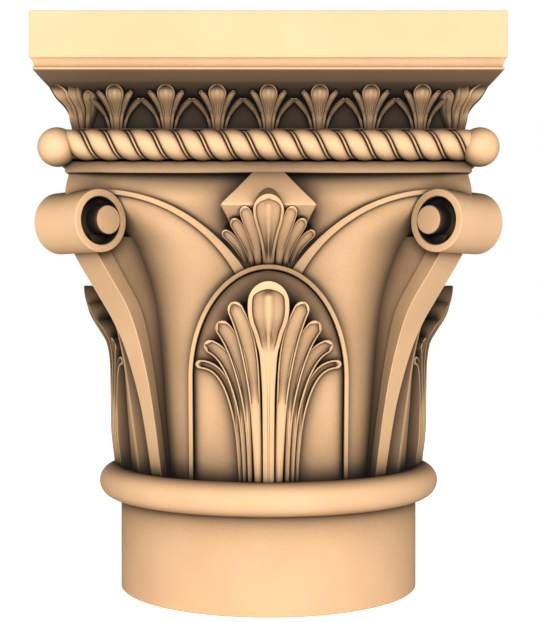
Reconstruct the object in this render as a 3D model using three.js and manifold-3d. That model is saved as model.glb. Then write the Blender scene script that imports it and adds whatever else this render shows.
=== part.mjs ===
// A Corinthian capital in one block of stone: neck and astragal, a bell that turns from round to
// square, a raised arch with a big leaf on each face, ribs that carry the corner scrolls, small
// leaves on the middle of each face, a cable moulding, a row of palmettes and a plain square slab.
// Millimetres, +Z up, the origin in the middle of the flat underside of the neck.
import * as THREE from "three";
import { mergeVertices } from "three/addons/utils/BufferGeometryUtils.js";
import ManifoldModule from "manifold-3d";

const wasm = await ManifoldModule();
wasm.setup();

// Driving sizes.
const HEIGHT = 536.5;
const NECK_RADIUS = 150;
const SLAB_HALF = 205.8;
const SLAB_THICKNESS = 40.8;
const ASTRAGAL = { ring: 156, tube: 15.6, height: 108 };
const CABLE = { offset: 185, height: 423.5, radius: 13.8, groove: 3.4, strands: 17 };
const CORNER_BALL = { offset: 185, height: 421.5, radius: 17.3 };
const SCROLL = { reach: 237.3, height: 357, radius: 27.7, width: 61.8, channel: 9 };
const ARCH = { half: 73.7, spring: 215.6, rise: 104, rim: 4.2, foot: 100 };
const RELIEF = { arch: 9, arc: 5 };
const ROUND_STEPS = 32;
const SLAB_BOTTOM = HEIGHT - SLAB_THICKNESS;

// The bell at a few heights: half its width across the faces, and its reach along the diagonals.
const BELL = [
  { z: 96, face: 136, diagonal: 136 },
  { z: 194, face: 140, diagonal: 145 },
  { z: 272, face: 146, diagonal: 158 },
  { z: 342, face: 162, diagonal: 191 },
  { z: 381, face: 178.6, diagonal: 252.5 },
  { z: 402, face: 176.8, diagonal: 250 },
];

const ROOT_TWO = Math.SQRT2;
const QUARTER = Math.PI / 2;
const mix = THREE.MathUtils.lerp;

// Value of a row of [place, value] pairs at a place between them.
function along(pairs, place) {
  const next = pairs.findIndex(([at]) => at >= place);
  if (next === 0) return pairs[0][1];
  if (next < 0) return pairs[pairs.length - 1][1];
  const [before, after] = [pairs[next - 1], pairs[next]];
  return mix(before[1], after[1], (place - before[0]) / (after[0] - before[0]));
}

// A closed three.js geometry as a manifold.
function solid(geometry) {
  const bare = new THREE.BufferGeometry();
  bare.setAttribute("position", geometry.getAttribute("position").clone());
  if (geometry.index) bare.setIndex(geometry.index.clone());
  const merged = mergeVertices(bare, 1e-4);
  const places = merged.getAttribute("position");
  const triangles = [];
  for (let i = 0; i < merged.index.count; i += 3) {
    const corners = [merged.index.getX(i), merged.index.getX(i + 1), merged.index.getX(i + 2)];
    if (new Set(corners).size === 3) triangles.push(...corners);
  }
  if (volume(places, triangles) < 0) triangles.reverse();
  const mesh = new wasm.Mesh({
    numProp: 3,
    vertProperties: Float32Array.from(places.array),
    triVerts: Uint32Array.from(triangles),
  });
  return new wasm.Manifold(mesh);
}

function volume(places, triangles) {
  const [a, b, c] = [new THREE.Vector3(), new THREE.Vector3(), new THREE.Vector3()];
  let sum = 0;
  for (let i = 0; i < triangles.length; i += 3) {
    a.fromBufferAttribute(places, triangles[i]);
    b.fromBufferAttribute(places, triangles[i + 1]);
    c.fromBufferAttribute(places, triangles[i + 2]);
    sum += a.dot(b.cross(c));
  }
  return sum;
}

// A closed body through rings of points, each ring with the same count, capped by fans.
function loft(rings) {
  const size = rings[0].length;
  const points = rings.flat();
  const faces = [];
  for (let r = 0; r + 1 < rings.length; r += 1) {
    for (let i = 0; i < size; i += 1) {
      const [a, b] = [r * size + i, r * size + (i + 1) % size];
      faces.push(a, b, b + size, a, b + size, a + size);
    }
  }
  const last = (rings.length - 1) * size;
  for (let i = 1; i + 1 < size; i += 1) {
    faces.push(0, i + 1, i);
    faces.push(last, last + i, last + i + 1);
  }
  const geometry = new THREE.BufferGeometry().setFromPoints(points);
  geometry.setIndex(faces);
  return solid(geometry);
}

// A body turned about the Z axis. The profile lists [radius, height].
function turned(profile, steps) {
  const points = profile.map(([radius, height]) => new THREE.Vector2(radius, height));
  return solid(new THREE.LatheGeometry(points, steps).rotateX(QUARTER));
}

// A square moulding with mitred corners. The profile lists [half width, height].
function square(profile) {
  const points = profile.map(([half, height]) => new THREE.Vector2(half * ROOT_TWO, height));
  return solid(new THREE.LatheGeometry(points, 4, Math.PI / 4).rotateX(QUARTER));
}

const union = (bodies) => bodies.reduce((sum, body) => sum.add(body));

// The same body on all four faces, or on all four corners.
const fourTimes = (body) => union([0, 90, 180, 270].map((turn) => body.rotate([0, 0, turn])));

// A body with its mirror image on the other side of the middle of the face.
const mirrored = (body) => body.add(body.mirror([1, 0, 0]));

// Plain round neck with the astragal, a full half round, above it.
function neckAndAstragal() {
  const { ring, tube, height } = ASTRAGAL;
  const profile = [[0, 0], [NECK_RADIUS, 0]];
  const start = -Math.acos((NECK_RADIUS - ring) / tube);
  for (let i = 0; i <= 4; i += 1) {
    const angle = mix(start, 2.2, i / 4);
    profile.push([ring + tube * Math.cos(angle), height + tube * Math.sin(angle)]);
  }
  profile.push([0, profile[profile.length - 1][1]]);
  return turned(profile, ROUND_STEPS);
}

// The bell, a rounded square whose corner radius shrinks to nothing at the top.
function bell(proud) {
  const rings = BELL.map(({ z, face, diagonal }) => {
    const corner = Math.max((face * ROOT_TWO - diagonal) / (ROOT_TWO - 1), 0);
    const flat = face - corner;
    const ring = [];
    for (let side = 0; side < 4; side += 1) {
      for (let step = -3; step < 3; step += 1) {
        const turn = step * Math.PI / 12;
        const reach = roundedReach(flat, corner, turn) + proud;
        ring.push(polar(reach, side * QUARTER + turn, z));
      }
    }
    return ring;
  });
  return loft(rings);
}

// Distance from the axis to a rounded square, at a turn from the middle of one side.
function roundedReach(flat, corner, turn) {
  const side = Math.abs(turn);
  const straight = (flat + corner) / Math.cos(side);
  if (straight * Math.sin(side) <= flat) return straight;
  const middle = flat * (Math.cos(side) + Math.sin(side));
  const off = flat * (Math.cos(side) - Math.sin(side));
  return middle + Math.sqrt(Math.max(corner * corner - off * off, 0));
}

// A point at a distance from the axis, turned from the middle of the front face.
function polar(reach, turn, z) {
  return new THREE.Vector3(reach * Math.sin(turn), -reach * Math.cos(turn), z);
}

// Fillet, cavetto and cove under the slab, then the slab itself.
function crown() {
  const profile = [
    [0, 385], [176.8, 385], [176.8, 397], [179.4, 399.7], [179.4, 410], [178, 410],
    [178, 438], [166, 439], [169, 455], [190, 475],
    [203.1, 486], [203.1, 487.8], [202, 489.5], [204.6, SLAB_BOTTOM], [SLAB_HALF, SLAB_BOTTOM],
    [SLAB_HALF, HEIGHT], [0, HEIGHT],
  ];
  return square(profile);
}

// Cable moulding along one side and a ball at its corner. Crests and grooves change places from one
// section to the next and from one line of the front to the next, so that the strands run slantwise.
function cable() {
  const { offset, height, radius, groove, strands } = CABLE;
  const rings = [];
  for (let i = 0; i <= strands * 2; i += 1) {
    const x = mix(-offset, offset, i / (strands * 2));
    const ring = [[164, height + 12.5], [offset - 6, height + 12.5]];
    for (const [k, turn] of [0.9, 0, -0.9].entries()) {
      const reach = radius - (i + k) % 2 * groove;
      ring.push([offset + reach * Math.cos(turn), height + reach * Math.sin(turn)]);
    }
    ring.push([offset - 6, height - 12.5], [164, height - 12.5]);
    rings.push(ring.map(([out, z]) => new THREE.Vector3(x, -out, z)));
  }
  const ball = new THREE.SphereGeometry(CORNER_BALL.radius, 8, 6).rotateX(QUARTER);
  ball.translate(-CORNER_BALL.offset, -CORNER_BALL.offset, CORNER_BALL.height);
  return loft(rings).add(solid(ball));
}

// Front of the palmettes, which lean out with the cove: [height, distance from the axis].
const PALMETTE_FRONT = [[438, 174], [455, 179], [465, 188], [472, 192.5], [482, 195]];
const PALMETTES = { across: 7, pitch: 45.4, base: 438 };
const PALMETTE_TIPS = [
  [-22.7, 455], [-20.5, 463], [-15, 470], [-9, 461], [-5.5, 476.5],
  [5.5, 476.5], [9, 461], [15, 470], [20.5, 463],
];

// The row of palmettes on one face: a spoon between two pairs of side lobes, again and again.
function palmetteRow() {
  const reach = PALMETTES.across / 2 * PALMETTES.pitch;
  const shape = new THREE.Shape();
  shape.moveTo(-reach, PALMETTES.base);
  for (let i = 0; i < PALMETTES.across; i += 1) {
    const middle = (i + 0.5) * PALMETTES.pitch - reach;
    for (const [x, top] of PALMETTE_TIPS) shape.lineTo(middle + x, top);
  }
  shape.lineTo(reach, PALMETTES.base);
  return bent(shape).add(cornerLeaf());
}

// A flat outline pushed out to the palmettes' leaning front.
function bent(shape) {
  const geometry = new THREE.ExtrudeGeometry(shape, { depth: 1, bevelEnabled: false });
  const places = geometry.getAttribute("position");
  for (let i = 0; i < places.count; i += 1) {
    const [x, z] = [places.getX(i), places.getY(i)];
    const front = along(PALMETTE_FRONT, z);
    places.setXYZ(i, x, places.getZ(i) > 0.5 ? -front : 16 - front, z);
  }
  return solid(geometry);
}

// Corner palmette: a leaf on the mitre whose edge follows the lean of the others.
function cornerLeaf() {
  const rings = PALMETTE_FRONT.map(([z, front], i) => {
    const half = [6, 8, 15, 17, 3][i];
    const [tip, back] = [front + 1, front - 12];
    return [
      new THREE.Vector3(-tip, -tip, z),
      new THREE.Vector3(half - tip, 0.5 - tip, z),
      new THREE.Vector3(-back, -back, z),
      new THREE.Vector3(0.5 - tip, half - tip, z),
    ];
  });
  return loft(rings);
}

// A point on the bell in front of a place in the plane of the face, proud of it by a relief.
function onBell(x, z, proud) {
  const face = along(BELL.map((row) => [row.z, row.face]), z);
  const diagonal = along(BELL.map((row) => [row.z, row.diagonal]), z);
  const corner = Math.max((face * ROOT_TWO - diagonal) / (ROOT_TWO - 1), 0);
  let turn = Math.atan(x / face);
  for (let pass = 0; pass < 4; pass += 1) {
    turn = Math.asin(x / (roundedReach(face - corner, corner, turn) + proud));
  }
  return polar(roundedReach(face - corner, corner, turn) + proud, turn, z);
}

// A fillet on the bell between two lines of [x, z] places, let in at its back.
function fillet(outer, inner, proud) {
  return loft(outer.map(([x, z], i) => [
    onBell(x, z, proud),
    onBell(...inner[i], proud),
    onBell(...inner[i], -4),
    onBell(x, z, -4),
  ]));
}

// Places along an arc of an ellipse.
function ellipse([x, z], [across, up], from, to, steps) {
  const places = [];
  for (let i = 0; i <= steps; i += 1) {
    const angle = mix(from, to, i / steps);
    places.push([x + across * Math.cos(angle), z + up * Math.sin(angle)]);
  }
  return places;
}

// Half of the flat fillet that sweeps from a scroll down to the arch.
function arcBand() {
  const upper = ellipse([-150, 210.4], [160.7, 175.6], 1.6, 0.68, 4);
  const lower = ellipse([-150, 244], [137.5, 137.5], 1.6, 0.58, 4);
  return fillet(upper, lower, RELIEF.arc);
}

// Outline of the arch from one foot over the top to the other, smaller by an inset.
function archLine(inset) {
  const half = ARCH.half - inset;
  const top = ellipse([0, ARCH.spring], [half, ARCH.rise - inset], 0, Math.PI, 8);
  return [[half, ARCH.foot], ...top, [-half, ARCH.foot]];
}

// The arch: a thin raised rim round the field behind the big leaf.
function arch() {
  return fillet(archLine(0), archLine(ARCH.rim), RELIEF.arch);
}

// Front of the big leaf and of the small one above it: [height, distance from the axis].
const LEAF_FRONT = [[118, 157], [155, 161.5], [214, 163], [242, 165.2], [259, 172.7], [283, 184], [304, 189]];
const SPRAY_FRONT = [[308, 148], [320, 162], [340, 176], [360, 193], [380, 203]];

// How far along its path each section of a lobe stands.
const LOBE_STEPS = [0, 0.55, 0.85, 1];
const SPRAY_STEPS = [0, 0.55, 0.88, 1];

// Each lobe goes up from its stem and bends out to its tip, in [x, height] pairs.
const LEAF_LOBES = [
  { path: [[-9.6, 115], [-10.4, 235], [-20, 262], [-32.6, 286]], stem: 7.4, wide: 13.6, steps: LOBE_STEPS },
  { path: [[-16.7, 115], [-17, 232], [-30, 250], [-45.6, 268]], stem: 4.8, wide: 13, steps: LOBE_STEPS },
  { path: [[-21.4, 115], [-22, 225], [-38, 243], [-58.8, 248]], stem: 4.2, wide: 11.5, steps: LOBE_STEPS },
  { path: [[-25.8, 115], [-27, 218], [-44, 231], [-67.2, 229.5]], stem: 3.8, wide: 8, steps: LOBE_STEPS },
];
const LEAF_MIDDLE = { path: [[0, 115], [0, 200], [0, 240], [0, 304]], stem: 10.2, wide: 36.8, steps: LOBE_STEPS };
const SPRAY_LOBES = [
  { path: [[-8, 317], [-9, 335], [-14, 355], [-23, 369]], stem: 5, wide: 10, steps: SPRAY_STEPS },
  { path: [[-13.5, 317], [-14.5, 332], [-22, 348], [-33, 359]], stem: 4.4, wide: 9, steps: SPRAY_STEPS },
  { path: [[-18.5, 317], [-20, 328], [-29, 342], [-42, 348.5]], stem: 4.4, wide: 8, steps: SPRAY_STEPS },
];
const SPRAY_MIDDLE = { path: [[0, 317], [0, 328], [0, 345], [0, 379]], stem: 9, wide: 27, steps: SPRAY_STEPS };

// One lobe: a dished strip that follows its path, widest near the tip and rounded off there.
function lobe({ path, stem, wide, steps }, front, back, dished) {
  const curve = new THREE.CubicBezierCurve(...path.map(([x, z]) => new THREE.Vector2(x, z)));
  const rings = [];
  for (const t of steps) {
    const rounded = Math.sqrt(1 - Math.max((t - 0.75) / 0.25, 0) ** 2 * 0.9);
    const half = mix(stem, wide, THREE.MathUtils.smoothstep(t, 0.15, 0.85)) / 2 * rounded;
    const middle = curve.getPoint(t);
    const direction = curve.getTangent(t);
    const ring = [onLeaf(middle, direction, 0, back), onLeaf(middle, direction, -half, front)];
    if (dished) ring.push(onLeaf(middle, direction, 0, front, half * 0.35));
    ring.push(onLeaf(middle, direction, half, front));
    rings.push(ring);
  }
  return loft(rings);
}

// A point beside a lobe's middle line, wrapped round the bell at the leaf's front or back.
function onLeaf(middle, direction, aside, surface, sunk = 0) {
  const x = middle.x + direction.y * aside;
  const z = middle.y - direction.x * aside;
  const front = along(surface.front, z);
  const reach = (surface.depth === undefined ? front : surface.depth) - sunk;
  const turn = Math.asin(x / front);
  return polar(reach, turn, z);
}

// A leaf of lobes: the ones on the left, their mirror images, and the one in the middle.
function leaf(lobes, middle, front, depth) {
  const [face, back] = [{ front }, { front, depth }];
  const left = union(lobes.map((one) => lobe(one, face, back, false)));
  return mirrored(left).add(lobe(middle, face, back, true));
}

// The boss behind the small leaf: light faces that spread to a level crease and fall back below.
function boss() {
  const rows = [
    { z: 402, half: 14, reach: 179 },
    { z: 398, half: 16.7, reach: 181 },
    { z: 370, half: 42, reach: 196 },
    { z: 350, half: 33, reach: 172 },
    { z: 330, half: 20, reach: 158 },
  ];
  return loft(rows.map(({ z, half, reach }) => [
    new THREE.Vector3(-half, -140, z),
    new THREE.Vector3(-half, -reach, z),
    new THREE.Vector3(half, -reach, z),
    new THREE.Vector3(half, -140, z),
  ]));
}

// Rib up each diagonal: its outer face by height, distance from the axis, width and slab thickness.
const RIB = [
  { z: 110, reach: 148, width: 14, slab: 8 },
  { z: 187, reach: 161, width: 17.3, slab: 8.8 },
  { z: 247, reach: 179.3, width: 24, slab: 12.5 },
  { z: 290, reach: 203, width: 34, slab: 16 },
  { z: 340, reach: 238, width: 34, slab: 18 },
];

// A rib on the front left diagonal: a slab that leans out, on a narrower web back to the bell.
function rib() {
  return loft(RIB.map(({ z, reach, width, slab }) => {
    const [outer, inner] = [width / 2, width / 2 - 4];
    const section = [
      [reach, outer], [reach - slab, outer], [reach - slab, inner], [120, inner],
      [120, -inner], [reach - slab, -inner], [reach - slab, -outer], [reach, -outer],
    ];
    return section.map(([out, aside]) => onDiagonal(out, aside, z));
  }));
}

// A point at a reach along the front left diagonal, and aside from it.
function onDiagonal(reach, aside, z) {
  return new THREE.Vector3((aside - reach) / ROOT_TWO, (-aside - reach) / ROOT_TWO, z);
}

// A corner scroll: a drum across the diagonal, with a spiral channel cut into both ends.
function scroll() {
  const { reach, height, radius, width, channel } = SCROLL;
  const place = (angle, distance, aside) => onDiagonal(
    reach + distance * Math.cos(angle), aside, height + distance * Math.sin(angle));
  const ringOf = (aside) => {
    const ring = [];
    for (let i = 0; i < 20; i += 1) ring.push(place(i * Math.PI / 10, radius, aside));
    return ring;
  };
  const drum = loft([ringOf(-width / 2), ringOf(width / 2)]);
  const cut = (side) => {
    const rings = [];
    for (let i = 0; i <= 8; i += 1) {
      const angle = mix(3.6, -2.2, i / 8);
      const outer = mix(radius - 6, radius - 8, i / 8);
      const inner = mix(radius - 14, 12.5, Math.min(i / 3, 1));
      rings.push([
        place(angle, inner, side * (width / 2 + 3)),
        place(angle, outer, side * (width / 2 + 3)),
        place(angle, outer, side * (width / 2 - channel)),
        place(angle, inner, side * (width / 2 - channel)),
      ]);
    }
    return loft(rings);
  };
  return drum.subtract(cut(1)).subtract(cut(-1));
}

// The whole block.
function capital() {
  const face = union([
    cable(),
    palmetteRow(),
    mirrored(arcBand()),
    arch(),
    leaf(LEAF_LOBES, LEAF_MIDDLE, LEAF_FRONT, 118),
    leaf(SPRAY_LOBES, SPRAY_MIDDLE, SPRAY_FRONT, 125),
    boss(),
    rib(),
    scroll(),
  ]);
  const whole = union([neckAndAstragal(), bell(0), crown(), fourTimes(face)]);
  return largest(whole.simplify(0.15).decompose());
}

// The outer skin alone, so that no pocket is left shut inside the block.
function largest(bodies) {
  return bodies.reduce((best, body) => (body.volume() > best.volume() ? body : best));
}

// A manifold back as a three.js geometry.
function geometryOf(body) {
  const mesh = body.getMesh();
  const geometry = new THREE.BufferGeometry();
  geometry.setAttribute("position", new THREE.BufferAttribute(mesh.vertProperties, mesh.numProp));
  geometry.setIndex(new THREE.BufferAttribute(mesh.triVerts, 1));
  geometry.computeVertexNormals();
  return geometry;
}

function stoneMaterial() {
  return new THREE.MeshStandardMaterial({ color: 0xdcbb8c, roughness: 0.9, metalness: 0 });
}

const group = new THREE.Group();
const block = new THREE.Mesh(geometryOf(capital()), stoneMaterial());
block.name = "capital";
group.add(block);
export default group;
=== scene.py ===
import bpy
import bmesh
from math import acos, asin, atan, cos, pi, radians, sin, sqrt
from mathutils import Matrix, Vector


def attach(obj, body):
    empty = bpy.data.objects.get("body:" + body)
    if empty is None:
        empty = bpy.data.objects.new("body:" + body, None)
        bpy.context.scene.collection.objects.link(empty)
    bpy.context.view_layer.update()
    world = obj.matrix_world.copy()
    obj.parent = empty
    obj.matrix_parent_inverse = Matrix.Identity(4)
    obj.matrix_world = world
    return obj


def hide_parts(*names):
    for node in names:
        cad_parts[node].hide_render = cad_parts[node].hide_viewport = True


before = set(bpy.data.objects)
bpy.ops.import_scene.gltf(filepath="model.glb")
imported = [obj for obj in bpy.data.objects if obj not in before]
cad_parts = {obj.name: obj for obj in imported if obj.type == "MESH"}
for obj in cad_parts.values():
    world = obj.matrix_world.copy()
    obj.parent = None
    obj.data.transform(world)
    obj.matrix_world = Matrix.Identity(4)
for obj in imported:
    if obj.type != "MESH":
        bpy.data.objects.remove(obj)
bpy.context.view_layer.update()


# ---------------------------------------------------------------- capital
# The capital is one block of warm fine-grained stone: a round neck, a bell that turns from round to
# square, leaves and ribs cut in high relief on it, a cable, a row of palmettes and a plain slab.
# It is drawn in millimetres, as a mason would. What goes round the whole block is in one mesh, and
# one face and one corner are in another, which is then turned to the other three sides.
block = bmesh.new()
quarter = bmesh.new()


def blend(a, b, share):
    return a + (b - a) * share


def ease(share):
    share = min(max(share, 0), 1)
    return share * share * (3 - 2 * share)


def smooth_through(points, place):
    """Height at a place of a smooth curve through (place, height) points."""
    if place <= points[0][0]:
        return points[0][1]
    if place >= points[-1][0]:
        return points[-1][1]
    i = next(n for n, point in enumerate(points) if point[0] >= place) - 1
    before, after = points[max(i - 1, 0)], points[min(i + 2, len(points) - 1)]
    (x0, y0), (x1, y1) = points[i], points[i + 1]
    slope0 = (y1 - before[1]) / (x1 - before[0])
    slope1 = (after[1] - y0) / (after[0] - x0)
    t, run = (place - x0) / (x1 - x0), x1 - x0
    return (
        (2 * t**3 - 3 * t**2 + 1) * y0 + (t**3 - 2 * t**2 + t) * run * slope0
        + (3 * t**2 - 2 * t**3) * y1 + (t**3 - t**2) * run * slope1
    )


def loft(rings, mesh=quarter, round_trip=False):
    """A closed skin over rings of points: flat at each end, or joined from the last to the first."""
    loops = [[mesh.verts.new(point) for point in ring] for ring in rings]
    if round_trip:
        faces = []
        loops.append(loops[0])
    else:
        faces = [mesh.faces.new(loops[0][::-1]), mesh.faces.new(loops[-1])]
    for low, high in zip(loops, loops[1:]):
        for i in range(len(low)):
            j = (i + 1) % len(low)
            faces.append(mesh.faces.new((low[i], low[j], high[j], high[i])))
    bmesh.ops.recalc_face_normals(mesh, faces=faces)
    return [vert for loop in loops for vert in loop]


def mirrored(verts):
    """Adds the mirror image on the other side of the middle of the face."""
    faces = {face for vert in verts for face in vert.link_faces}
    copy = bmesh.ops.duplicate(quarter, geom=list(faces))["geom"]
    twins = [item for item in copy if isinstance(item, bmesh.types.BMVert)]
    bmesh.ops.scale(quarter, vec=(-1, 1, 1), verts=twins)
    bmesh.ops.reverse_faces(quarter, faces=[item for item in copy if isinstance(item, bmesh.types.BMFace)])


def polar(reach, turn, z):
    """A point at a distance from the axis, turned from the middle of the front face."""
    return Vector((reach * sin(turn), -reach * cos(turn), z))


def ellipse(middle, size, start, end, steps):
    """(x, z) places along an arc of an ellipse."""
    turns = [blend(start, end, i / steps) for i in range(steps + 1)]
    return [(middle[0] + size[0] * cos(a), middle[1] + size[1] * sin(a)) for a in turns]


# Bell: a rounded square whose corner radius shrinks to nothing under the cable, where the middle of
# each face is a little hollow.
# Rows are height, half width across the faces and reach along the diagonals.
bell_rows = [
    (96, 136, 136), (128, 137, 137), (194, 140, 145), (236, 142.5, 151), (260, 144.5, 156),
    (288, 148.5, 164), (304, 151.5, 169.5), (327, 157.5, 181), (342, 162.5, 191), (360, 170, 215),
    (374, 177.6, 248), (383, 179.2, 253.4), (402, 175.8, 248.6),
]
bell_face = [(z, face) for z, face, _ in bell_rows]
bell_diagonal = [(z, diagonal) for z, _, diagonal in bell_rows]
bell_hollow = [(96, 0), (300, 0), (345, 3), (372, 9), (402, 10)]


def bell_reach(turn, z):
    """Distance from the axis to the bell, at a turn from the middle of the face."""
    face, diagonal = smooth_through(bell_face, z), smooth_through(bell_diagonal, z)
    corner = max((face * sqrt(2) - diagonal) / (sqrt(2) - 1), 0)
    flat, side = face - corner, abs(turn)
    hollow = smooth_through(bell_hollow, z) * (1 - min(sin(side) / cos(side), 1) ** 5)
    straight = face / cos(side)
    if straight * sin(side) <= flat:
        return straight - hollow
    off = flat * (cos(side) - sin(side))
    return flat * (cos(side) + sin(side)) + sqrt(max(corner**2 - off**2, 0)) - hollow


def on_bell(x, z, proud):
    """The point of the bell in front of a place on the face, raised by a relief."""
    turn = atan(x / smooth_through(bell_face, z))
    for _ in range(5):
        turn = asin(x / (bell_reach(turn, z) + proud))
    return polar(bell_reach(turn, z) + proud, turn, z)


bell_heights = [96 + 8 * i for i in range(33)] + [358 + 4 * i for i in range(12)]
around = [(i - 12) * pi / 48 for i in range(24)]
loft([
    [polar(bell_reach(turn, z), side * pi / 2 + turn, z) for side in range(4) for turn in around]
    for z in bell_heights
], block)

# Neck and astragal: a plain drum and a full round, both turned.
ring, tube, ring_height, neck = 156, 15.6, 108, 150
start = -acos((neck - ring) / tube)
profile = [(0, 0), (neck - 1, 0), (neck, 1), (neck, ring_height + tube * sin(start) - 0.5)]
for i in range(21):
    angle = blend(start, 2.3, i / 20)
    profile.append((ring + tube * cos(angle), ring_height + tube * sin(angle)))
profile.append((0, profile[-1][1]))
line = [block.verts.new((radius, 0, z)) for radius, z in profile]
edges = [block.edges.new(pair) for pair in zip(line, line[1:])]
spun = bmesh.ops.spin(
    block, geom=line + edges, cent=(0, 0, 0), axis=(0, 0, 1), angle=2 * pi, steps=128, use_merge=True
)
drum_verts = list({vert for face in block.faces for vert in face.verts if vert.co.xy.length < 172})
bmesh.ops.remove_doubles(block, verts=drum_verts, dist=0.001)


# Fillet, cavetto, cove and slab: square mouldings with mitred corners, an arris taken off each.
def square_ring(half, z, arris=0.5):
    corners = []
    for x, y in ((-1, -1), (1, -1), (1, 1), (-1, 1)):
        swap = x * y > 0
        first = (x * half, y * (half - arris)) if swap else (x * (half - arris), y * half)
        second = (x * (half - arris), y * half) if swap else (x * half, y * (half - arris))
        corners += [(*first, z), (*second, z)]
    return corners


slab_half, slab_bottom, top = 205.8, 495.7, 536.5
cove = [(440, 169), (450, 170.5), (457.5, 173.5), (463.5, 178), (468.5, 184), (472.5, 189.5)]
cove += [(477, 195), (486, 203.1)]
moulding = [(120, 399.8), (178.6, 399.8), (179.4, 400.6), (179.4, 409.4)]
moulding += [(178.8, 410), (172, 410), (171, 411), (170, 424), (171, 437), (173.4, 438.2)]
moulding += [(173.8, 438.8), (173.4, 439.4)]
moulding += [(smooth_through(cove, z), z) for z in range(440, 487, 2)]
moulding += [(203.4, 486.5), (203.4, 487.8), (202.6, 488.3), (202.2, 489.6), (202.6, 491.4)]
moulding += [(203.5, 493.2), (204.6, slab_bottom - 0.6), (205.2, slab_bottom)]
moulding += [(slab_half, slab_bottom + 0.6), (slab_half, top - 0.8), (slab_half - 0.8, top), (120, top)]
loft([square_ring(half, z) for half, z in moulding], block)


# Cable: fat strands with a thin raised thread between each pair, running down to the right.
# The rows of points follow the strands, so every groove stays crisp.
cable_out, cable_height, cable_radius, pitch, lay = 185, 423.5, 13.7, 20.3, 0.8
strand_form = [(0, -1.3), (0.035, -1.6), (0.06, -2.5), (0.085, -3.4)]
strand_form += [
    (0.5 + 0.4 * u, -3 * (1 - sqrt(1 - u * u))) for u in (-0.98, -0.85, -0.5, 0, 0.5, 0.85, 0.98)
]
strand_form += [(0.915, -3.4), (0.94, -2.5), (0.965, -1.6)]
rings = []
for n in range(-10, 10):
    for share, rise in strand_form:
        points = []
        for k in range(13):
            turn = blend(1.9, -1.9, k / 12)
            x = (n + share - turn / pi * lay) * pitch + 5.2
            reach = cable_radius + rise
            points.append((x, -cable_out - reach * cos(turn), cable_height + reach * sin(turn)))
        rings.append(points)
cable = loft(rings)
for side in (-1, 1):
    faces = {face for vert in cable for face in vert.link_faces}
    edges = {edge for vert in cable for edge in vert.link_edges}
    cut = bmesh.ops.bisect_plane(
        quarter, geom=[*faces, *edges, *cable], plane_co=(side * (cable_out + 2), 0, 0),
        plane_no=(side, 0, 0), clear_outer=True,
    )["geom_cut"]
    rim = [item for item in cut if isinstance(item, bmesh.types.BMEdge)]
    bmesh.ops.contextual_create(quarter, geom=rim)
    cable = [vert for vert in cable if vert.is_valid]
    cable += [item for item in cut if isinstance(item, bmesh.types.BMVert)]

# Ball where two cables meet.
bmesh.ops.create_uvsphere(
    quarter, u_segments=32, v_segments=20, radius=17.3, matrix=Matrix.Translation((-185, -185, 421.5))
)


# A lobe is a strip that follows a line up from its stem: a raised rim round a dished middle, which
# dies out down the stem to leave a plain reed. The middle lobes have a bead down the dish.
def wrapped(front, back):
    """The surface of a leaf that goes round the bell. A point with no rise is let into the bell."""
    def place(x, z, rise):
        face = smooth_through(front, z)
        return polar(back if rise is None else face + rise, asin(x / face), z)
    return place


def cubic(line, t):
    a, b, c, d = (Vector(point) for point in line)
    return a * (1 - t) ** 3 + b * 3 * t * (1 - t) ** 2 + c * 3 * t**2 * (1 - t) + d * t**3


def lobe(line, width, rim, dish, surface, bead=0, reed=1.2, steps=22, small=False):
    """dish is its depth, how far down the lobe it starts to fade, and over how long a share."""
    path = [cubic(line, 1 - i / 160) for i in range(161)]
    gone = [0]
    for a, b in zip(path, path[1:]):
        gone.append(gone[-1] + (b - a).length)
    length = gone[-1]
    deep, fade_start, fade_run = dish

    def half_at(distance):
        fat = max(smooth_through(width, distance / length) / 2, 0.5)
        return fat * sqrt(max(1 - (1 - min(distance / fat, 1)) ** 2, 0.0009))

    rings = []
    for i in range(steps + 1):
        distance = length * (i / steps) ** 1.6
        n = min(max(next((k for k, at in enumerate(gone) if at >= distance), 160), 1), 160)
        share = (distance - gone[n - 1]) / (gone[n] - gone[n - 1])
        middle = path[n - 1].lerp(path[n], share)
        heading = (path[n - 1] - path[n]).normalized()
        half = half_at(distance)
        inner = min(half_at(distance - rim), half - rim * 0.6) if distance > rim else 0
        kept = 1 - ease((distance / length - fade_start) / fade_run)
        sunk = deep * kept * min(max(inner, 0) / (rim * 0.6), 1)
        inner = max(inner, half * 0.1)
        ridge = bead * kept * ease((distance - rim * 1.2) / 5)
        crown = reed * (1 - kept * 0.8)
        arris = min(0.6, half * 0.25)
        marks = [
            (half, -crown - 0.9), (half - arris * 0.3, -crown - arris * 0.3), (half - arris, -crown * 0.8),
            (inner + min(0.5, inner * 0.1), -crown * (inner / half) ** 2),
            (inner - min(0.6, inner * 0.2), -sunk * 0.8 - crown * 0.5 * (inner / half) ** 2),
            (inner * 0.6, -sunk - crown * 0.2), (inner * 0.34, -sunk + ridge * 0.2),
            (inner * 0.18, -sunk + ridge * 0.8),
        ]
        if small:
            del marks[5], marks[1]
        outline = [(half, None), *marks, (0, -sunk + ridge)]
        outline += [(-aside, rise) for aside, rise in reversed([(half, None), *marks])]
        rings.append([
            surface(middle.x + heading.y * aside, middle.y - heading.x * aside, rise)
            for aside, rise in outline
        ])
    return loft(rings)


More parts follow.
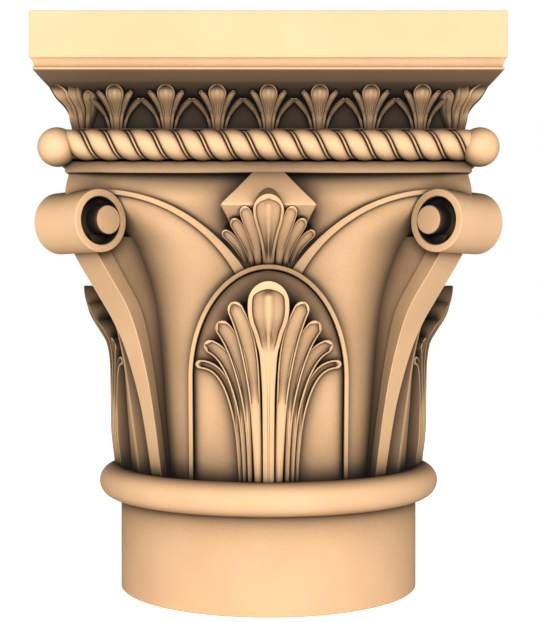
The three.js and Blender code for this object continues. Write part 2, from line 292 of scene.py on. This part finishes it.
# Big leaf: a middle lobe and four to each side, each tip lower and further out than the last.
leaf_front = [
    (100, 155), (127.5, 158.3), (155, 161.4), (201, 162.2), (226, 163), (242.5, 165.2), (251, 168.2),
    (259, 172.7), (267, 177.6), (275, 181.8), (283.5, 184.4), (292, 186.8), (304, 189),
]
leaf_back = 134
side_lobes = [
    ([(-9.3, 115), (-10.4, 235), (-20, 262), (-32.8, 285.6)], [(0, 13.5), (0.15, 15.4), (0.3, 14.2), (0.5, 10.4), (0.7, 9), (1, 6.4)]),
    ([(-16.7, 115), (-17, 230), (-30, 250), (-45.4, 267.9)], [(0, 13.5), (0.15, 15.2), (0.3, 13.2), (0.5, 8), (0.7, 5.6), (1, 4)]),
    ([(-21.4, 115), (-22, 223), (-38, 243), (-58.6, 247.6)], [(0, 12), (0.15, 13), (0.3, 11), (0.5, 6.5), (0.7, 5), (1, 3.6)]),
    ([(-25.4, 115), (-27, 216), (-44, 231), (-66.8, 229.4)], [(0, 8.2), (0.15, 8.4), (0.3, 7.6), (0.5, 5.4), (0.7, 4.6), (1, 3.4)]),
]
leaf_verts = []
for depth, (line, width) in enumerate(side_lobes):
    set_back = [(z, reach - 1.6 * (depth + 1)) for z, reach in leaf_front]
    leaf_verts += lobe(line, width, 3, (3.2, 0.42, 0.2), wrapped(set_back, leaf_back))
mirrored(leaf_verts)
middle_width = [(0, 34), (0.09, 36.4), (0.14, 36.8), (0.19, 33.4), (0.24, 26.6), (0.29, 21.6), (0.34, 17), (0.42, 14.2), (0.55, 11.6), (1, 10.2)]
lobe([(0, 115), (0, 180), (0, 240), (0, 304)], middle_width, 7, (4.4, 0.24, 0.12), wrapped(leaf_front, leaf_back), bead=2.6, steps=64)

# Arch round the leaf: a thin raised rim with a groove inside it, on a low panel.
arch_half, arch_spring, arch_rise, arch_foot = 73.7, 215.6, 104, 100


def arch_line(inset):
    half = arch_half - inset
    curve = ellipse((0, arch_spring), (half, arch_rise - inset), 0, pi, 48)
    sides = [arch_foot + (arch_spring - arch_foot) * i / 8 for i in range(8)]
    return [(half, z) for z in sides] + curve + [(-half, z) for z in reversed(sides)]


def fillet(outer, inner, proud, arris=0.5, sink=4):
    rings = []
    for (x, z), (u, w) in zip(outer, inner):
        across = Vector((u - x, w - z))
        bite = across.normalized() * arris
        rings.append([
            on_bell(x, z, -sink), on_bell(x, z, proud - arris),
            on_bell(x + bite.x, z + bite.y, proud), on_bell(u - bite.x, w - bite.y, proud),
            on_bell(u, w, proud - arris), on_bell(u, w, -sink),
        ])
    return loft(rings)


fillet(arch_line(0), arch_line(4.3), 8.5)
panel_rows = arch_line(5.6)[:33]
loft([
    [on_bell(half * (k - 5) / 5, z, 4 if abs(k - 5) < 5 else 3.6) for k in range(11)]
    + [(half * 0.7, -90, z), (-half * 0.7, -90, z)]
    for half, z in panel_rows
])

# Sweep: a flat fillet from under each scroll down to the arch.
upper = ellipse((-150, 210.4), (160.7, 175.6), 1.62, 0.62, 44)
lower = ellipse((-150, 244), (137.5, 137.5), 1.62, 0.485, 44)
mirrored(fillet(upper, lower, 4.5))

# Boss under the middle of the fillet: it spreads to a level crease and falls back below it.
boss_rows = [(402, 13.5, 178.5), (398, 16.7, 180.5), (384, 29.5, 188.4), (372.4, 40.8, 194.8), (371, 41.6, 195.3)]
boss_rows += [(370, 41.8, 195.2), (368.8, 41.2, 193.8), (362, 37.4, 184.5), (350, 31.5, 171), (332, 24, 158)]
loft([
    [(-half, -140, z), (-half, -reach + 1.2, z), (-half + 0.9, -reach, z), (half - 0.9, -reach, z),
     (half, -reach + 1.2, z), (half, -140, z)]
    for z, half, reach in boss_rows
])

# Small leaf in front of the boss, which leans out from behind the arch.
spray_front = [(300, 150), (312, 156), (322, 162), (334, 171), (348, 182), (362, 193), (372, 199.5), (381, 204)]
spray_back = 150
spray_lobes = [
    ([(-8, 306), (-9, 332), (-14, 354), (-23, 368.6)], [(0, 9), (0.2, 11.6), (0.4, 10.6), (0.7, 7), (1, 5.6)]),
    ([(-13.5, 306), (-15, 330), (-21, 346), (-32.6, 358.4)], [(0, 8.4), (0.2, 10.4), (0.4, 9), (0.7, 5.6), (1, 4.4)]),
    ([(-18, 306), (-20, 324), (-28, 342), (-41.4, 348)], [(0, 7.4), (0.2, 8.6), (0.4, 7.4), (0.7, 5), (1, 4)]),
]


def leaning(front, thick, back):
    """A leaf that leans out so far that the wall of its edge, square to its face, shows above it."""
    def place(x, z, rise):
        if rise is not None:
            face = smooth_through(front, z)
            return polar(face + rise, asin(x / face), z)
        slope = (smooth_through(front, z + 1) - smooth_through(front, z - 1)) / 2
        lean = atan(slope)
        face = smooth_through(front, z)
        return polar(face - thick * cos(lean) - 14, asin(x / face), z + thick * sin(lean) + 6)
    return place


spray_verts = []
for depth, (line, width) in enumerate(spray_lobes):
    set_back = [(z, reach - 1.4 * (depth + 1)) for z, reach in spray_front]
    spray_verts += lobe(line, width, 2, (1.9, 0.5, 0.25), leaning(set_back, 8, spray_back), steps=18)
mirrored(spray_verts)
spray_width = [(0, 25), (0.17, 27.2), (0.3, 24.6), (0.45, 18), (0.6, 13), (0.8, 10), (1, 8.6)]
lobe(
    [(0, 306), (0, 330), (0, 350), (0, 379)], spray_width, 4.6, (3, 0.62, 0.2),
    leaning(spray_front, 8, spray_back), bead=1.8, steps=44,
)


# Palmettes on the cove: a spoon between two pairs of side lobes, seven to a face.
palmette_front = [(430, 174), (440, 174.2), (444.5, 175.4), (450.5, 177), (456.3, 179.6), (461, 183.4)]
palmette_front += [(464, 186.6), (470, 190.6), (478, 194)]
palmette_pitch = 44.8


def across_face(front, at, side):
    """The leaning front of the palmettes, straight across the face."""
    def place(x, z, rise):
        face = smooth_through(front, z)
        return Vector((at + side * x, -(face - 9 if rise is None else face + rise), z))
    return place


palmette_lobes = [
    ([(-3.3, 436), (-3.6, 452), (-7.5, 463), (-15.4, 470.2)], [(0, 4.2), (0.2, 4.8), (0.5, 4), (1, 2.7)]),
    ([(-6.2, 436), (-7.4, 450), (-13, 458), (-22.3, 463.8)], [(0, 4), (0.2, 4.5), (0.5, 3.8), (1, 2.3)]),
]
spoon_width = [(0, 14), (0.22, 15.8), (0.33, 13.4), (0.44, 10.4), (0.6, 7.6), (0.77, 6), (1, 5.4)]
spoon_line = [(0, 436), (0, 448), (0, 462), (0, 476.4)]


def palmette(at):
    for step, (line, width) in enumerate(palmette_lobes):
        set_back = [(z, reach - 0.8 - 0.8 * step) for z, reach in palmette_front]
        for side in (-1, 1):
            lobe(line, width, 0.9, (1.2, 0.5, 0.25), across_face(set_back, at, side), reed=0.5, steps=9, small=True)
    surface = across_face(palmette_front, at, 1)
    lobe(spoon_line, spoon_width, 2.4, (1.8, 0.5, 0.3), surface, bead=0.9, reed=0.5, steps=20, small=True)


for n in range(-3, 4):
    palmette(n * palmette_pitch)


# Corner palmette: broader, and folded over the mitre of the cove.
def over_mitre(front):
    def place(x, z, rise):
        face = smooth_through(front, z)
        face = face - 9 if rise is None else face + rise
        along, across = (-face + x, -face) if x > 0 else (-face, -face - x)
        return Vector((along, across, z))
    return place


corner_lobes = [
    ([(6.9, 436), (8.4, 452), (14.5, 464), (23.2, 477)], [(0, 6.4), (0.2, 7.4), (0.5, 5.8), (1, 3.2)]),
    ([(10.5, 436), (13, 449), (20.5, 460), (32.6, 470)], [(0, 5.6), (0.2, 6.2), (0.5, 5), (1, 2.6)]),
]
for step, (line, width) in enumerate(corner_lobes):
    set_back = [(z, reach - 0.8 - 0.8 * step) for z, reach in palmette_front]
    for side in (-1, 1):
        turned = [(side * x, z) for x, z in line]
        lobe(turned, width, 1.2, (1.5, 0.5, 0.25), over_mitre(set_back), reed=0.5, steps=14, small=True)
corner_width = [(0, 26), (0.2, 29), (0.33, 24), (0.44, 19), (0.6, 14.4), (0.8, 11.6), (1, 10.4)]
lobe(
    [(0, 436), (0, 448), (0, 464), (0, 479.6)], corner_width, 3, (2, 0.5, 0.3),
    over_mitre(palmette_front), steps=22,
)


# Corner: a rib up the diagonal carries a scroll.
def on_diagonal(reach, aside, z):
    """A point along the front left diagonal, and aside from it."""
    return Vector(((aside - reach) / sqrt(2), (-aside - reach) / sqrt(2), z))


rib_reach = [(105, 147), (127, 150.2), (158.4, 155.5), (186.8, 161.1), (216.6, 168.9), (247, 179.3), (269, 189.6), (285, 199.5), (326, 229.4), (345, 240)]
rib_width = [(105, 14), (127, 14.4), (158.4, 15.7), (186.8, 17.3), (216.6, 20.6), (247, 24.4), (269, 29.6), (285, 33.6), (300, 34), (345, 34)]
rib_slab = [(105, 8), (187, 8.8), (217, 10), (247, 12.5), (285, 16), (345, 18)]
rings = []
for i in range(49):
    z = 105 + 5 * i
    out, half, thick = (smooth_through(curve, z) for curve in (rib_reach, rib_width, rib_slab))
    half, arris = half / 2, 0.7
    outline = [
        (out - arris, -half), (out, -half + arris), (out, half - arris), (out - arris, half),
        (out - thick + 0.6, half), (out - thick, half - 0.6), (out - thick, half - 2), (118, half - 2.4),
        (118, -half + 2.4), (out - thick, -half + 2), (out - thick, -half + 0.6), (out - thick + 0.6, -half),
    ]
    rings.append([on_diagonal(reach, aside, z) for reach, aside in outline])
loft(rings)

# Scroll: a drum across the diagonal. At both ends a band runs round a deep channel and joins an eye
# that lies against its inner side.
scroll_out, scroll_height, scroll_radius, scroll_half = 237.3, 357, 27.7, 30.9
channel, band, eye, eye_inward, eye_raise = 16, 6.5, 12.9, 8.5, 1.1


def scroll_point(angle, distance, aside, inward=0, up=0):
    reach = scroll_out - inward + distance * cos(angle)
    return on_diagonal(reach, aside, scroll_height + up + distance * sin(angle))


def scroll_disc(outline, inward=0, up=0, turns=48):
    """A turned piece beside the scroll's own axis, from (distance, aside) pairs."""
    return loft([
        [scroll_point(2 * pi * k / turns, far, aside, inward, up) for k in range(turns)]
        for far, aside in outline
    ])


inside, inner = scroll_half - channel, scroll_radius - band
half_round = [
    (scroll_radius, scroll_half - 0.7), (scroll_radius - 0.7, scroll_half), (inner + 0.7, scroll_half),
    (inner, scroll_half - 0.7),
]
band_outline = half_round + [(far, -aside) for far, aside in reversed(half_round)]
loft([[scroll_point(pi * k / 36, *at) for at in band_outline] for k in range(72)], round_trip=True)
scroll_disc([(inner + 1, -inside), (inner + 1, inside)])
for side in (-1, 1):
    eye_outline = [(eye, inside - 1), (eye, scroll_half - 1.6), (eye - 0.3, scroll_half - 0.6)]
    eye_outline += [(eye - 1, scroll_half - 0.05), (0.5, scroll_half - 0.04)]
    scroll_disc([(far, side * aside) for far, aside in eye_outline], eye_inward, eye_raise)

# The face and the corner are turned to the other three sides, and the whole is brought to metres.
quarter_mesh = bpy.data.meshes.new("one side")
quarter.to_mesh(quarter_mesh)
for turn in range(4):
    before = len(block.verts)
    block.from_mesh(quarter_mesh)
    block.verts.ensure_lookup_table()
    bmesh.ops.rotate(
        block, cent=(0, 0, 0), matrix=Matrix.Rotation(turn * pi / 2, 3, "Z"), verts=block.verts[before:]
    )
bpy.data.meshes.remove(quarter_mesh)
bmesh.ops.scale(block, vec=(0.001, 0.001, 0.001), verts=block.verts)
block.normal_update()
for face in block.faces:
    face.smooth = True
for edge in block.edges:
    edge.smooth = edge.calc_face_angle(0) < radians(28)
mesh = bpy.data.meshes.new("capital_stone")
block.to_mesh(mesh)
capital = bpy.data.objects.new("capital_stone", mesh)
bpy.context.collection.objects.link(capital)

# Stone: warm buff, fine and even in grain, with painted shade that darkens it to brown in the cove and in creases and
# recesses, which leaves the open slab paler.
stone = bpy.data.materials.new("warm buff stone")
stone.use_nodes = True
nodes, links = stone.node_tree.nodes, stone.node_tree.links
shader = nodes["Principled BSDF"]
shader.inputs["Roughness"].default_value = 0.85
shader.inputs["Specular IOR Level"].default_value = 0.25
place = nodes.new("ShaderNodeTexCoord")
mottle = nodes.new("ShaderNodeTexNoise")
mottle.inputs["Scale"].default_value = 14
mottle.inputs["Detail"].default_value = 5
tone = nodes.new("ShaderNodeValToRGB")
tone.color_ramp.elements[0].position = 0.3
tone.color_ramp.elements[0].color = (0.70, 0.432, 0.232, 1)
tone.color_ramp.elements[1].position = 0.7
tone.color_ramp.elements[1].color = (0.76, 0.478, 0.262, 1)
colour = tone.outputs["Color"]


def ranged(value, low, high, at_low=0, at_high=1):
    node = nodes.new("ShaderNodeMapRange")
    for name, number in (("From Min", low), ("From Max", high), ("To Min", at_low), ("To Max", at_high)):
        node.inputs[name].default_value = number
    links.new(value, node.inputs["Value"])
    return node.outputs["Result"]


def worked_out(operation, first, second=None):
    node = nodes.new("ShaderNodeMath")
    node.operation = operation
    links.new(first, node.inputs[0])
    if second:
        links.new(second, node.inputs[1])
    return node.outputs["Value"]


def multiplied(first, second, share=None):
    node = nodes.new("ShaderNodeMix")
    node.data_type = "RGBA"
    node.blend_type = "MULTIPLY"
    node.inputs["Factor"].default_value = 1.0
    if share:
        links.new(share, node.inputs["Factor"])
    links.new(first, node.inputs[6])
    links.new(second, node.inputs[7])
    return node.outputs[2]


# Painted shade: the ground of the cove, behind the palmettes, is darkened to dark brown where it lies back under the
# slab.
axes = nodes.new("ShaderNodeSeparateXYZ")
links.new(place.outputs["Object"], axes.inputs["Vector"])
across, along, height = axes.outputs
out_from_axis = worked_out("MAXIMUM", worked_out("ABSOLUTE", across), worked_out("ABSOLUTE", along))
ground = nodes.new("ShaderNodeValToRGB")
for n, (z, half) in enumerate(cove):
    stops = ground.color_ramp.elements
    stop = stops.new((z - 440) / 46) if 0 < n < len(cove) - 1 else stops[0 if n == 0 else -1]
    stop.color = (half / 1000, half / 1000, half / 1000, 1)
links.new(ranged(height, 0.44, 0.486), ground.inputs["Fac"])
stands_off = worked_out("SUBTRACT", out_from_axis, ground.outputs["Color"])
cove_shade_mask = worked_out("MULTIPLY", ranged(height, 0.4385, 0.4405), ranged(height, 0.4855, 0.487, 1, 0))
colour = multiplied(colour, ranged(stands_off, 0.001, 0.005, 0.2, 1), cove_shade_mask)
# Painted shade: two ambient occlusion passes, over 12 cm and 2 cm, darken the colour in creases, recesses and between
# parts.
for reach, steps in (
    (0.12, ((0.1, 0.01), (0.4, 0.07), (0.64, 0.27), (0.8, 0.47), (0.9, 0.71), (0.97, 1))),
    (0.02, ((0.25, 0.12), (0.88, 1))),
):
    hollow = nodes.new("ShaderNodeAmbientOcclusion")
    hollow.samples = 8
    hollow.only_local = True
    hollow.inputs["Distance"].default_value = reach
    shade = nodes.new("ShaderNodeValToRGB")
    for n, (position, light) in enumerate(steps):
        stops = shade.color_ramp.elements
        stop = stops.new(position) if 0 < n < len(steps) - 1 else stops[0 if n == 0 else -1]
        stop.position = position
        stop.color = (light, light * 0.97, light * 0.93, 1)
    stop.color = (1, 1, 1, 1)
    links.new(hollow.outputs["AO"], shade.inputs["Fac"])
    colour = multiplied(colour, shade.outputs["Color"])
grain = nodes.new("ShaderNodeTexNoise")
grain.inputs["Scale"].default_value = 700
grain.inputs["Detail"].default_value = 3
bump = nodes.new("ShaderNodeBump")
bump.inputs["Strength"].default_value = 0.12
bump.inputs["Distance"].default_value = 0.0006
links.new(place.outputs["Object"], mottle.inputs["Vector"])
links.new(place.outputs["Object"], grain.inputs["Vector"])
links.new(mottle.outputs["Fac"], tone.inputs["Fac"])
links.new(colour, shader.inputs["Base Color"])
links.new(grain.outputs["Fac"], bump.inputs["Height"])
links.new(bump.outputs["Normal"], shader.inputs["Normal"])
mesh.materials.append(stone)
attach(capital, "root")
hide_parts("capital")


# ---------------------------------------------------------------- floor
# A pale plain studio floor under the neck.
floor_mesh = bmesh.new()
bmesh.ops.create_grid(floor_mesh, x_segments=1, y_segments=1, size=12)
mesh = bpy.data.meshes.new("studio_floor")
floor_mesh.to_mesh(mesh)
floor = bpy.data.objects.new("studio_floor", mesh)
bpy.context.collection.objects.link(floor)
paper = bpy.data.materials.new("pale paper")
paper.use_nodes = True
paper.node_tree.nodes["Principled BSDF"].inputs["Base Color"].default_value = (0.9, 0.9, 0.9, 1)
paper.node_tree.nodes["Principled BSDF"].inputs["Roughness"].default_value = 0.9
paper.node_tree.nodes["Principled BSDF"].inputs["Emission Color"].default_value = (1, 1, 1, 1)
seen = paper.node_tree.nodes.new("ShaderNodeLightPath")
paper.node_tree.links.new(
    seen.outputs["Is Camera Ray"], paper.node_tree.nodes["Principled BSDF"].inputs["Emission Strength"]
)
mesh.materials.append(paper)


# ---------------------------------------------------------------- light and camera
# Soft even light from the front, a little above, and a pale surround.
def area_light(name, place, target, size, power):
    lamp = bpy.data.lights.new(name, "AREA")
    lamp.shape = "DISK"
    lamp.size = size
    lamp.energy = power
    holder = bpy.data.objects.new(name, lamp)
    holder.location = place
    holder.rotation_euler = (Vector(target) - Vector(place)).to_track_quat("-Z", "Y").to_euler()
    bpy.context.collection.objects.link(holder)


area_light("front", (0, -2.6, 0.8), (0, 0, 0.3), 1.2, 73)
world = bpy.data.worlds.new("studio")
world.use_nodes = True
nodes, links = world.node_tree.nodes, world.node_tree.links
seen = nodes.new("ShaderNodeLightPath")
strength = nodes.new("ShaderNodeMapRange")
strength.inputs["To Min"].default_value = 0.34
strength.inputs["To Max"].default_value = 1.0
links.new(seen.outputs["Is Camera Ray"], strength.inputs["Value"])
links.new(strength.outputs["Result"], nodes["Background"].inputs["Strength"])
nodes["Background"].inputs["Color"].default_value = (1, 1, 1, 1)
bpy.context.scene.world = world

# The camera looks level along +Y, a little over half way up the capital.
camera = bpy.data.objects.new("camera", bpy.data.cameras.new("camera"))
camera.data.lens = 71.2
camera.location = (0, -1.263, 0.2779)
camera.rotation_euler = (pi / 2, 0, 0)
bpy.context.collection.objects.link(camera)
bpy.context.scene.camera = camera
bpy.context.scene.view_settings.view_transform = "Standard"
